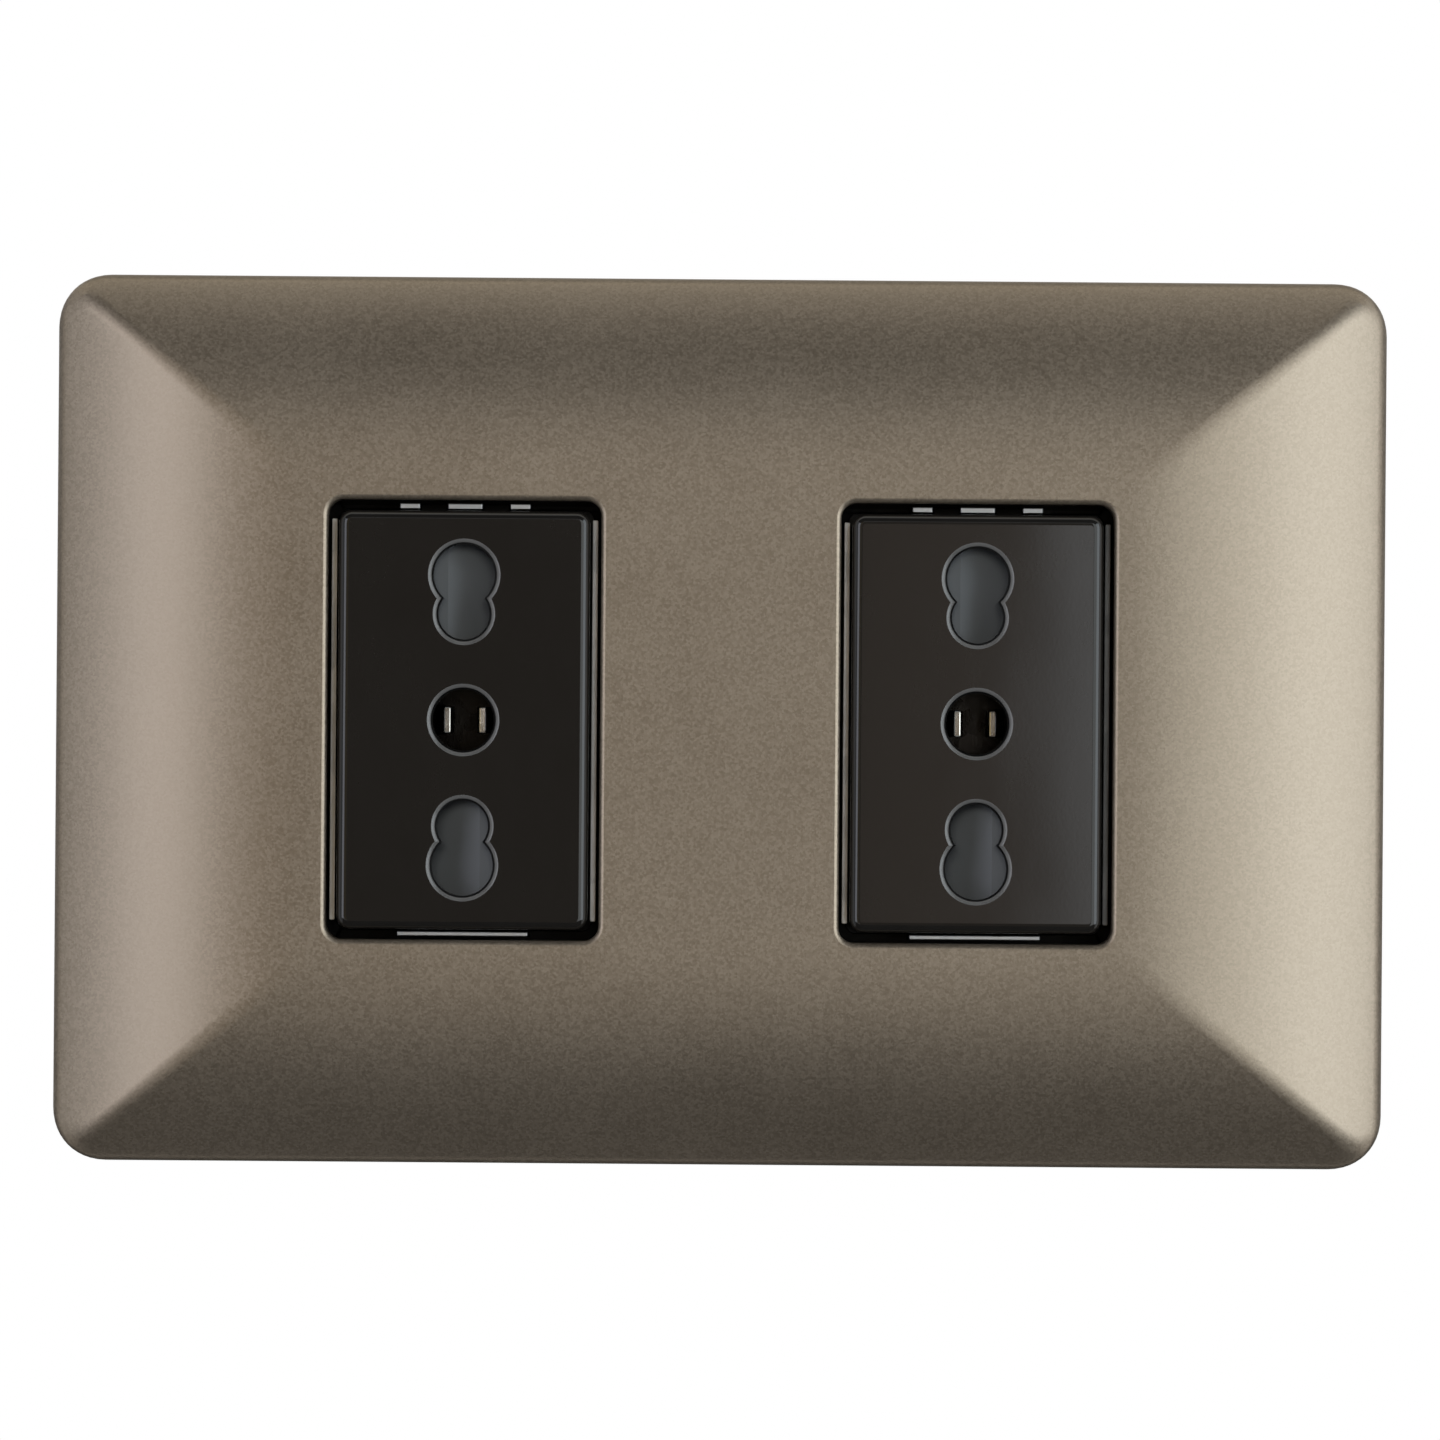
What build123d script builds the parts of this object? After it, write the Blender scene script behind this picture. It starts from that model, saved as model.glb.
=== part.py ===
from build123d import *
from math import sqrt
import os

# Double wall socket: a pillow-shaped cover plate over a pressed steel frame that carries two
# shuttered socket modules. Millimetres, +Z up, the front faces -Y and the wall is the plane Y = 0.
# Heights below are measured from the wall towards the viewer, so what lies in the wall box is negative.

# Cover plate
plate_width = 120.0
plate_height = 80.0
plate_rise = 9.0
plate_wall = 2.0
plate_corner = 5.0
skirt_height = 2.0
skirt_round = 1.8
rim_overrun = 0.5
window_land = 0.75
window_corner = 1.4
window_bevel = 0.5
collar_wall = 1.2
collar_depth = 2.2
rib_wall = 1.0
rib_reach = 7.0
rib_height = 12.0
hook_spacing = 60.0
hook_width = 7.0
hook_wall = 1.3
hook_barb = 1.0
hook_land = 0.5
hook_tip = 1.3

# Mounting frame
sheet = 0.5
frame_side_inset = 6.0
frame_end_inset = 10.0
frame_corner = 3.0
screw_spacing = 83.5
slot_width = 4.2
slot_length = 8.0
flange_inset = 14.0
flange_bridge = 1.4
end_lip_width = 11.8
side_lip_inset = 0.1
lip_recess = 2.5
bay_corner = 0.8

# Socket module, front
module_pitch = 46.0
module_width = 22.5
module_height = 37.5
module_corner = 1.2
face_proud = 0.6
face_thickness = 2.4
face_round = 0.9
housing_wall = 1.3
outer_pin_spacing = 26.0
inner_pin_spacing = 19.0
outer_hole_radius = 2.75
inner_hole_radius = 2.3
earth_hole_radius = 2.75
hole_bevel = 0.5
tube_wall = 1.15
stop_wall = 1.2
stop_height = 3.6
tooth_spacing = 5.6
tooth_width = 2.2
tooth_rise = 0.7
tooth_depth = 5.8
upper_tooth_length = 4.0
lower_tooth_length = 2.4
lip_window_length = 2.9
snap_spacing = 18.0
snap_width = 4.0
snap_height = 1.4
snap_rise = 0.9
snap_seat = 1.0

# Shutter and its spring
shutter_height = 3.0
shutter_margin = 0.4
hub_wall = 1.2
neck_width = 4.4
ramp_land = 1.5
ramp_edge = 0.9
spring_lever = 6.4
spring_radius = 1.05
spring_wire = 0.34
spring_turns = 5
peg_radius = 0.65
peg_length = 1.1

# Socket module, rear
shoulder_lap = 1.4
shoulder_depth = 2.4
block_inset = 0.6
pin_length = 19.0
pin_tip_gap = 1.2
contact_sheet = 0.7
line_contact_width = 8.0
earth_contact_width = 7.2
earth_leaf_width = 2.4
line_leaf_gap = 3.6
earth_leaf_gap = 2.0
leaf_base = 5.2
line_leaf_mouth = 6.4
earth_leaf_mouth = 3.2
leaf_neck_depth = 4.0
leaf_foot = 2.5
bend_radius = 0.7
tail_reach = 8.7
clamp_width = 6.1
clamp_height = 6.0
clamp_thickness = 1.0
screw_offset = 5.6
screw_radius = 1.45
screw_tip = 2.0
head_radius = 2.6
head_height = 1.8
head_recess = 2.8
driver_slot = 0.8
driver_depth = 0.9
wire_entry_height = 5.6
wire_entry_depth = 2.6
wire_entry_flare = 0.5
core_wall = 1.5
core_depth = 9.0

# Clearances
lip_gap = 0.2
collar_gap = 0.3
flange_gap = 0.6
hook_gap = 0.15
tooth_gap = 0.1
shutter_gap = 0.3
hub_fit = 0.08
stop_gap = 0.12
spring_gap = 0.08
spigot_fit = 0.1
seat_gap = 0.1
well_gap = 0.2
clamp_gap = 0.2
thread_fit = 0.06
selection_slack = 0.01

# Places worked out from the sizes above
face = plate_rise + face_proud
face_inner = face - face_thickness
shutter_front = face_inner - shutter_gap
shutter_back = shutter_front - shutter_height
spigot_front = shutter_back - shutter_gap
lip_front = face - lip_recess
tooth_back = face - tooth_depth
contact_front = face - pin_length - pin_tip_gap
contact_back = contact_front - contact_sheet
clamp_back = contact_back - clamp_thickness
head_back = clamp_back - head_height
module_back = head_back - head_recess
tube_radius = earth_hole_radius + tube_wall
hub_radius = tube_radius + hub_fit + hub_wall
cavity_width = module_width - 2 * housing_wall
cavity_height = module_height - 2 * housing_wall
window_width = module_width + 2 * (lip_gap + sheet + collar_gap)
window_height = module_height + 2 * (lip_gap + sheet + collar_gap)
side_run = plate_width / 2 - module_pitch / 2 - window_width / 2 - window_land
end_run = plate_height / 2 - window_height / 2 - window_land
bay_width = module_width + 2 * lip_gap
bay_height = module_height + 2 * lip_gap
side_lip_height = bay_height - 2 * (bay_corner + side_lip_inset)
frame_width = plate_width - 2 * frame_side_inset
frame_height = plate_height - 2 * frame_end_inset
collar_end = plate_rise - plate_wall - collar_depth
mid_wall = plate_rise - plate_wall / 2
terminal_spacing = (outer_pin_spacing + inner_pin_spacing) / 4
pocket_width = clamp_width + 2 * clamp_gap
pocket_height = clamp_height + 2 * clamp_gap
sides = {"left": -module_pitch / 2, "right": module_pitch / 2}


def front_plane(x, height):
    """Plane parallel to the wall: local x is +X, local y is +Z, the normal points at the viewer."""
    return Plane(origin=(x, -height, 0), x_dir=(1, 0, 0), z_dir=(0, -1, 0))


def level_plane(x, z):
    """Horizontal plane: local x is +X, local y is the height above the wall, the normal is -Z."""
    return Plane(origin=(x, 0, z), x_dir=(1, 0, 0), z_dir=(0, 0, -1))


def upright_plane(x):
    """Plane across the plate: local x is +Z, local y is the height above the wall, the normal is +X."""
    return Plane(origin=(x, 0, 0), x_dir=(0, 0, 1), z_dir=(1, 0, 0))


def dome_height(distance, run, depth):
    """Height of the curved front, or of the surface a depth below it, at a distance past the flat."""
    drop = plate_rise - skirt_height
    radius = (run**2 + drop**2) / (2 * drop)
    return plate_rise - radius + sqrt((radius - depth) ** 2 - max(distance, 0.0) ** 2)


def dome_section(plane, length, run, depth, base):
    """Closed section of the pillow: a flat and, tangent to each end, an arc that runs on past the rim."""
    flat = length / 2 - run
    top = plate_rise - depth
    end = length / 2 + rim_overrun
    end_height = dome_height(run + rim_overrun, run, depth)
    with BuildSketch(plane) as section:
        with BuildLine():
            Line((0, top), (flat, top))
            TangentArc((flat, top), (end, end_height), tangent=(1, 0))
            Polyline((end, end_height), (end, base), (0, base))
            mirror(about=Plane.YZ)
        make_face()
    return section.sketch


def pillow(depth, base):
    """Solid under the front surface sunk by a depth: two crossing sections inside the rounded outline."""
    long_section = dome_section(level_plane(0, 0), plate_width, side_run, depth, base)
    cross_section = dome_section(upright_plane(0), plate_height, end_run, depth, base)
    with BuildPart() as solid:
        extrude(long_section, amount=plate_height, both=True)
        extrude(cross_section, amount=plate_width, both=True, mode=Mode.INTERSECT)
        with BuildSketch(front_plane(0, base)):
            RectangleRounded(plate_width - 2 * depth, plate_height - 2 * depth, plate_corner - depth)
        extrude(amount=plate_rise - base, mode=Mode.INTERSECT)
    return solid.part


def plate_ribs():
    """Stiffening ribs behind the plate, between the windows and from each window to the slopes."""
    side_rib = module_pitch / 2 + window_width / 2 + rib_reach / 2
    end_rib = window_height + rib_reach
    with BuildPart() as ribs:
        with BuildSketch(front_plane(0, collar_end)):
            with GridLocations(0, 2 * rib_height, 1, 2):
                Rectangle(module_pitch - window_width, rib_wall)
            with GridLocations(2 * side_rib, 2 * rib_height, 2, 2):
                Rectangle(rib_reach, rib_wall)
            with GridLocations(module_pitch, end_rib, 2, 2):
                Rectangle(rib_wall, rib_reach)
        extrude(amount=plate_rise - collar_end)
        add(pillow_core, mode=Mode.INTERSECT)
    return ribs.part


def hook_section(x):
    """Section of an upper and a lower snap hook that reach past the frame's flange and catch its window."""
    inner = frame_height / 2 + hook_gap
    outer = inner + hook_wall
    root = dome_height(outer - plate_height / 2 + end_run, end_run, plate_wall / 2)
    catch = flange_top - flange_bridge - hook_gap
    with BuildSketch(upright_plane(x)) as section:
        with BuildLine():
            Polyline(
                (inner, root),
                (inner, catch),
                (inner - hook_barb, catch),
                (inner - hook_barb, catch - hook_land),
                (inner, hook_tip),
                (outer, hook_tip),
                (outer, root),
                close=True,
            )
        make_face()
        mirror(about=Plane.YZ)
    return section.sketch


flange_top = dome_height(frame_height / 2 - plate_height / 2 + end_run, end_run, plate_wall) - flange_gap
pillow_front = pillow(0.0, 0.0)
pillow_core = pillow(plate_wall / 2, -plate_rise)
pillow_hollow = pillow(plate_wall, -plate_rise)
rib_solids = plate_ribs()
hook_sections = [hook_section(x) for x in (-hook_spacing / 2, hook_spacing / 2)]

os.makedirs("parts", exist_ok=True)

# Cover plate
with BuildPart() as cover_plate:
    add(pillow_front)
    rim_lowest = -skirt_height - skirt_round
    rim_edges = cover_plate.edges().filter_by_position(Axis.Y, rim_lowest, selection_slack - skirt_height)
    fillet(rim_edges, skirt_round)
    add(pillow_hollow, mode=Mode.SUBTRACT)
    with BuildSketch(front_plane(0, collar_end)):
        with GridLocations(module_pitch, 0, 2, 1):
            Rectangle(window_width + 2 * collar_wall, window_height + 2 * collar_wall)
    extrude(amount=mid_wall - collar_end)
    add(rib_solids)
    for section in hook_sections:
        extrude(section, amount=hook_width / 2, both=True)
    with BuildSketch(front_plane(0, plate_rise)):
        with GridLocations(module_pitch, 0, 2, 1):
            RectangleRounded(window_width, window_height, window_corner)
    extrude(amount=-plate_rise, mode=Mode.SUBTRACT)
    front_face = cover_plate.faces().sort_by(Axis.Y)[0]
    chamfer([edge for wire in front_face.inner_wires() for edge in wire.edges()], window_bevel)
cover_plate.part.label = "cover_plate"
export_step(cover_plate.part, "parts/cover_plate.step")

# Mounting frame
with BuildPart() as mounting_frame:
    with BuildSketch(front_plane(0, 0)):
        RectangleRounded(frame_width, frame_height, frame_corner)
        with GridLocations(module_pitch, 0, 2, 1):
            RectangleRounded(bay_width, bay_height, bay_corner, mode=Mode.SUBTRACT)
        with GridLocations(screw_spacing, 0, 2, 1):
            SlotOverall(slot_length, slot_width, mode=Mode.SUBTRACT)
    extrude(amount=sheet)
    with BuildSketch(front_plane(0, 0)):
        with GridLocations(0, frame_height - sheet, 1, 2):
            Rectangle(frame_width - 2 * flange_inset, sheet)
    extrude(amount=flange_top)
    with BuildSketch(front_plane(0, 0)):
        with GridLocations(module_pitch, bay_height + sheet, 2, 2):
            Rectangle(end_lip_width, sheet)
        with GridLocations(module_pitch, 0, 2, 1):
            with GridLocations(bay_width + sheet, 0, 2, 1):
                Rectangle(sheet, side_lip_height)
    extrude(amount=lip_front)
    hook_window_height = flange_top - flange_bridge - 2 * sheet
    with BuildSketch(front_plane(0, 2 * sheet)):
        with GridLocations(hook_spacing, frame_height, 2, 2):
            Rectangle(hook_width + 4 * hook_gap, 3 * sheet)
    extrude(amount=hook_window_height, mode=Mode.SUBTRACT)
    for module_x in sides.values():
        with BuildSketch(front_plane(module_x, tooth_back - tooth_gap)):
            with Locations((0, bay_height / 2 + sheet / 2)):
                with GridLocations(tooth_spacing, 0, 2, 1):
                    Rectangle(tooth_width + 2 * tooth_gap, 2 * sheet)
        extrude(amount=lip_front, mode=Mode.SUBTRACT)
        with BuildSketch(front_plane(module_x, tooth_back - tooth_gap)):
            with Locations((0, -bay_height / 2 - sheet / 2)):
                with GridLocations(tooth_spacing, 0, 2, 1):
                    Rectangle(tooth_width + 2 * tooth_gap, 2 * sheet)
        extrude(amount=lip_window_length, mode=Mode.SUBTRACT)
mounting_frame.part.label = "mounting_frame"
export_step(mounting_frame.part, "parts/mounting_frame.step")


def tooth_section(x, end, length):
    """Section of a latch tooth on the module's upper or lower end: a square catch behind a ramp."""
    root = end * (module_height / 2 - housing_wall / 2)
    edge = end * module_height / 2
    tip = end * (module_height / 2 + tooth_rise)
    with BuildSketch(upright_plane(x)) as section:
        with BuildLine():
            Polyline(
                (root, tooth_back),
                (tip, tooth_back),
                (tip, tooth_back + length / 3),
                (edge, tooth_back + length),
                (root, tooth_back + length),
                close=True,
            )
        make_face()
    return section.sketch


def front_housing(side, x):
    """Moulded front of one module: face with pin holes, skirt, earth tube, stops and latch teeth."""
    teeth = [
        tooth_section(x + offset, end, length)
        for offset in (-tooth_spacing / 2, tooth_spacing / 2)
        for end, length in ((1, upper_tooth_length), (-1, lower_tooth_length))
    ]
    with BuildPart() as housing:
        with BuildSketch(front_plane(x, seat_gap)):
            RectangleRounded(module_width, module_height, module_corner)
        extrude(amount=face - seat_gap)
        fillet(housing.faces().sort_by(Axis.Y)[0].edges(), face_round)
        with BuildSketch(front_plane(x, seat_gap)):
            Rectangle(cavity_width, cavity_height)
        extrude(amount=face_inner - seat_gap, mode=Mode.SUBTRACT)
        with BuildSketch(front_plane(x, spigot_front + seat_gap)):
            Circle(tube_radius)
        extrude(amount=face_inner - spigot_front)
        stop_offset = outer_hole_radius + shutter_margin + stop_gap + stop_wall / 2
        with BuildSketch(front_plane(x, shutter_back)):
            for turn in (1, -1):
                with Locations((turn * stop_offset, turn * outer_pin_spacing / 2)):
                    Rectangle(stop_wall, stop_height)
        extrude(amount=face_inner - shutter_back)
        with BuildSketch(upright_plane(x - cavity_width / 2)):
            with Locations((spring_lever, (shutter_front + shutter_back) / 2)):
                Circle(peg_radius)
        extrude(amount=peg_length)
        for tooth in teeth:
            extrude(tooth, amount=tooth_width / 2, both=True)
        with BuildSketch(upright_plane(x)):
            with Locations((0, snap_seat + snap_height / 2)):
                with GridLocations(snap_spacing, 0, 2, 1):
                    Rectangle(snap_width + 2 * tooth_gap, snap_height + 2 * tooth_gap)
        extrude(amount=module_width, both=True, mode=Mode.SUBTRACT)
        with BuildSketch(front_plane(x, face)):
            with GridLocations(0, outer_pin_spacing, 1, 2):
                Circle(outer_hole_radius)
            with GridLocations(0, inner_pin_spacing, 1, 2):
                Circle(inner_hole_radius)
            Circle(earth_hole_radius)
        extrude(amount=spigot_front - face, mode=Mode.SUBTRACT)
        front_face = housing.faces().sort_by(Axis.Y)[0]
        chamfer([edge for wire in front_face.inner_wires() for edge in wire.edges()], hole_bevel)
    housing.part.label = f"{side}_front_housing"
    export_step(housing.part, f"parts/{side}_front_housing.step")


def shutter(side, x):
    """Safety shutter: a hub on the earth tube and two wings whose ramps the plug's pins push aside."""
    tip_radius = outer_hole_radius + shutter_margin
    waist_radius = inner_hole_radius + shutter_margin
    outer_pin = outer_pin_spacing / 2
    inner_pin = inner_pin_spacing / 2
    with BuildPart() as blade:
        with BuildSketch(front_plane(x, shutter_back)):
            with Locations((0, outer_pin)):
                Circle(tip_radius)
            with Locations((0, inner_pin)):
                Circle(waist_radius)
            make_hull()
            with Locations((0, inner_pin / 2)):
                Rectangle(neck_width, inner_pin)
            mirror(about=Plane.XZ)
            Circle(hub_radius)
            Circle(tube_radius + hub_fit, mode=Mode.SUBTRACT)
        extrude(amount=shutter_height)
        ramp_start = hub_radius + shutter_gap
        ramp_length = outer_pin + 2 * tip_radius - ramp_start
        for turn in (1, -1):
            with BuildSketch(level_plane(x, turn * ramp_start)):
                with BuildLine():
                    Polyline(
                        (-turn * ramp_land, shutter_front),
                        (turn * tip_radius, shutter_front),
                        (turn * tip_radius, shutter_back + ramp_edge),
                        close=True,
                    )
                make_face()
            extrude(amount=-turn * ramp_length, mode=Mode.SUBTRACT)
        with BuildSketch(upright_plane(x - neck_width / 2)):
            with Locations((spring_lever, (shutter_front + shutter_back) / 2)):
                Circle(peg_radius)
        extrude(amount=-peg_length)
    blade.part.label = f"{side}_shutter"
    export_step(blade.part, f"parts/{side}_shutter.step")


def shutter_spring(side, x):
    """Coil spring between a peg on the housing's side wall and a peg on the shutter's upper wing."""
    start = x - cavity_width / 2 + spring_wire / 2 + spring_gap
    length = cavity_width / 2 - neck_width / 2 - spring_wire - 2 * spring_gap
    height = (shutter_front + shutter_back) / 2
    with BuildPart() as spring:
        with BuildLine() as coil:
            Helix(
                pitch=length / spring_turns,
                height=length,
                radius=spring_radius,
                center=(start, -height, spring_lever),
                direction=(1, 0, 0),
            )
        with BuildSketch(Plane(origin=coil.line @ 0, z_dir=coil.line % 0)):
            Circle(spring_wire / 2)
        sweep(is_frenet=True)
    spring.part.label = f"{side}_shutter_spring"
    export_step(spring.part, f"parts/{side}_shutter_spring.step")


def rear_housing(side, x):
    """Moulded terminal block: spigot in the front housing, shoulder behind the frame, contact wells."""
    spigot_width = cavity_width - 2 * spigot_fit
    well_left = (line_leaf_mouth + contact_sheet) / 2 + well_gap
    well_right = tail_reach + well_gap
    core_width = module_width / 2 - block_inset - well_left - 2 * core_wall
    snaps = [snap_section(x, z) for z in (-snap_spacing / 2, snap_spacing / 2)]
    with BuildPart() as block:
        with BuildSketch(front_plane(x, 0)):
            Rectangle(spigot_width, cavity_height - 2 * spigot_fit)
        extrude(amount=spigot_front)
        with BuildSketch(front_plane(x, 0)):
            RectangleRounded(module_width + 2 * shoulder_lap, module_height + 2 * shoulder_lap, module_corner)
        extrude(amount=-shoulder_depth)
        with BuildSketch(front_plane(x, 0)):
            RectangleRounded(module_width - 2 * block_inset, module_height - 2 * block_inset, module_corner)
        extrude(amount=module_back)
        fillet(block.faces().sort_by(Axis.Y)[-1].edges(), block_inset)
        for snap in snaps:
            extrude(snap, amount=snap_width / 2, both=True)
        with BuildSketch(front_plane(x, spigot_front)):
            with Locations(((well_right - well_left) / 2, 0)):
                with GridLocations(0, 2 * terminal_spacing, 1, 2):
                    Rectangle(well_left + well_right, line_contact_width + 2 * well_gap)
                Rectangle(well_left + well_right, earth_contact_width + 2 * well_gap)
        extrude(amount=contact_back - spigot_front, mode=Mode.SUBTRACT)
        with BuildSketch(front_plane(x, module_back)):
            with Locations((screw_offset, 0)):
                with GridLocations(0, terminal_spacing, 1, 3):
                    Rectangle(pocket_width, pocket_height)
        extrude(amount=contact_back - module_back, mode=Mode.SUBTRACT)
        with BuildSketch(upright_plane(x + screw_offset)):
            with Locations((0, contact_back - wire_entry_depth / 2)):
                with GridLocations(terminal_spacing, 0, 3, 1):
                    RectangleRounded(wire_entry_height, wire_entry_depth, wire_entry_depth / 4)
        extrude(amount=module_width / 2, mode=Mode.SUBTRACT)
        flank = x + module_width / 2 - block_inset
        flank_faces = block.faces().filter_by(Axis.X)
        flank_face = flank_faces.filter_by_position(Axis.X, flank - selection_slack, flank + selection_slack)[0]
        chamfer([edge for wire in flank_face.inner_wires() for edge in wire.edges()], wire_entry_flare)
        with BuildSketch(front_plane(x, module_back)):
            with Locations((-well_left - core_wall - core_width / 2, 0)):
                with GridLocations(0, terminal_spacing, 1, 3):
                    RectangleRounded(core_width, terminal_spacing - core_wall, core_wall / 2)
        extrude(amount=core_depth, mode=Mode.SUBTRACT)
    block.part.label = f"{side}_rear_housing"
    export_step(block.part, f"parts/{side}_rear_housing.step")


def snap_section(x, z):
    """Section of the wedges on the block's two long sides that catch the windows of the front's skirt."""
    root = cavity_width / 2 - spigot_fit
    with BuildSketch(level_plane(x, z)) as section:
        with BuildLine():
            Polyline(
                (root - hook_land, snap_seat),
                (root + snap_rise, snap_seat),
                (root + snap_rise, snap_seat + hook_land),
                (root, snap_seat + snap_height),
                (root - hook_land, snap_seat + snap_height),
                close=True,
            )
        make_face()
        mirror(about=Plane.YZ)
    return section.sketch


def contact(side, x, terminal, z, width, leaf_width, leaf_gap, leaf_mouth):
    """Pressed contact: two sprung leaves that grip a pin, standing on a plate that ends at the screw."""
    middle = contact_front - contact_sheet / 2
    mouth = (leaf_mouth / 2, spigot_front - contact_sheet)
    neck = ((leaf_gap + contact_sheet) / 2, spigot_front - leaf_neck_depth)
    foot = (leaf_base / 2, contact_front + leaf_foot)
    base = (leaf_base / 2, middle)
    with BuildPart() as spring_clip:
        with BuildSketch(level_plane(x, z)):
            with BuildLine():
                FilletPolyline(mouth, neck, foot, base, radius=bend_radius)
                mirror(about=Plane.YZ)
            trace(line_width=contact_sheet)
        extrude(amount=leaf_width / 2, both=True)
        with BuildSketch(front_plane(x, contact_back)):
            with Locations(((tail_reach - (leaf_base + contact_sheet) / 2) / 2, z)):
                Rectangle(tail_reach + (leaf_base + contact_sheet) / 2, width)
            with Locations((screw_offset, z)):
                Circle(screw_radius + thread_fit, mode=Mode.SUBTRACT)
        extrude(amount=contact_sheet)
    spring_clip.part.label = f"{side}_{terminal}_contact"
    export_step(spring_clip.part, f"parts/{side}_{terminal}_contact.step")


def clamp_plate(side, x, terminal, z):
    """Square plate under the screw head that holds the wires against the contact."""
    with BuildPart() as plate:
        with BuildSketch(front_plane(x, clamp_back)):
            with Locations((screw_offset, z)):
                RectangleRounded(clamp_width, clamp_height, clamp_gap)
                Circle(screw_radius + thread_fit, mode=Mode.SUBTRACT)
        extrude(amount=clamp_thickness)
    plate.part.label = f"{side}_{terminal}_clamp_plate"
    export_step(plate.part, f"parts/{side}_{terminal}_clamp_plate.step")


def terminal_screws(side, x):
    """The three clamp screws of one module, heads to the rear, each with a driver slot."""
    with BuildPart() as screws:
        with BuildSketch(front_plane(x + screw_offset, head_back)):
            with GridLocations(0, terminal_spacing, 1, 3):
                Circle(head_radius)
        extrude(amount=head_height)
        with BuildSketch(front_plane(x + screw_offset, clamp_back)):
            with GridLocations(0, terminal_spacing, 1, 3):
                Circle(screw_radius)
        extrude(amount=contact_front + screw_tip - clamp_back)
        with BuildSketch(front_plane(x + screw_offset, head_back)):
            with GridLocations(0, terminal_spacing, 1, 3):
                Rectangle(driver_slot, 2 * head_radius)
        extrude(amount=driver_depth, mode=Mode.SUBTRACT)
    screws.part.label = f"{side}_terminal_screws"
    export_step(screws.part, f"parts/{side}_terminal_screws.step")


line = (line_contact_width, line_contact_width, line_leaf_gap, line_leaf_mouth)
earth = (earth_contact_width, earth_leaf_width, earth_leaf_gap, earth_leaf_mouth)
terminals = {"upper": (terminal_spacing, line), "earth": (0.0, earth), "lower": (-terminal_spacing, line)}

for side, module_x in sides.items():
    front_housing(side, module_x)
    shutter(side, module_x)
    shutter_spring(side, module_x)
    rear_housing(side, module_x)
    terminal_screws(side, module_x)
    for terminal, (terminal_z, form) in terminals.items():
        contact(side, module_x, terminal, terminal_z, *form)
        clamp_plate(side, module_x, terminal, terminal_z)
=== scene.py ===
"""Looks of a double wall socket: a pewter cover plate over two black shuttered socket modules."""

from __future__ import annotations

import logging
import math
from dataclasses import dataclass
from enum import Enum
from typing import Any, Iterable, Union

import bmesh
import bpy
from mathutils import Matrix, Vector

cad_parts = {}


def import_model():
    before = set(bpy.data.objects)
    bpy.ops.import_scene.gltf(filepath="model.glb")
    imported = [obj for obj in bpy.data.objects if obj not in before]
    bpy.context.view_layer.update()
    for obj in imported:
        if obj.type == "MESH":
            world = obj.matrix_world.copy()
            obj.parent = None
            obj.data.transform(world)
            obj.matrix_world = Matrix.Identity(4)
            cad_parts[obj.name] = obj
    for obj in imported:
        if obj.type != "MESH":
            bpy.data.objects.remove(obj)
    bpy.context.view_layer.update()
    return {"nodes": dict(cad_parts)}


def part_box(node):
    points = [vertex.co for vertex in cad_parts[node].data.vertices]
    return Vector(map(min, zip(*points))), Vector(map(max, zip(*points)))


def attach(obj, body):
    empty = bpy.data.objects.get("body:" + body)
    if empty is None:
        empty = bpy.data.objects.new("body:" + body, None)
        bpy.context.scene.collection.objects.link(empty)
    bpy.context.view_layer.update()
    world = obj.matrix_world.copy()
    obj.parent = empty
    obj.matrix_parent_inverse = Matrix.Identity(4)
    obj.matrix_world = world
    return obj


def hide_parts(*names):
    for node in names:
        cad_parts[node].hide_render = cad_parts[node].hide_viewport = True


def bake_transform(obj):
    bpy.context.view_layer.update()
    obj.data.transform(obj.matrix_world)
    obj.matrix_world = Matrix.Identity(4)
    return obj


LOG = logging.getLogger("double_wall_socket")
MM = 0.001
UPRIGHT = Matrix.Rotation(math.radians(90), 3, "X")
PLASTIC_IOR = 1.5
NOISE_ROUGHNESS = 0.55
WELD_REACH = 0.001 * MM
FLAT_TURN = 0.5
EDGE_TURN = 35.0
Colour = tuple[float, float, float]
Point = tuple[float, float, float]


class Slot(Enum):
    """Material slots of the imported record."""

    PLATE = "plate_paint"
    MODULE = "module_black"
    SHUTTER = "shutter_grey"
    BLOCK = "block_black"
    ZINC = "zinc_steel"
    CONTACT = "contact_metal"
    SCREW = "screw_steel"
    SPRING = "spring_steel"


class Side(Enum):
    """The two socket modules, by where they sit as seen from the front."""

    LEFT = "left"
    RIGHT = "right"


class Terminal(Enum):
    """The three contacts of a module."""

    UPPER = "upper"
    EARTH = "earth"
    LOWER = "lower"


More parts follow.
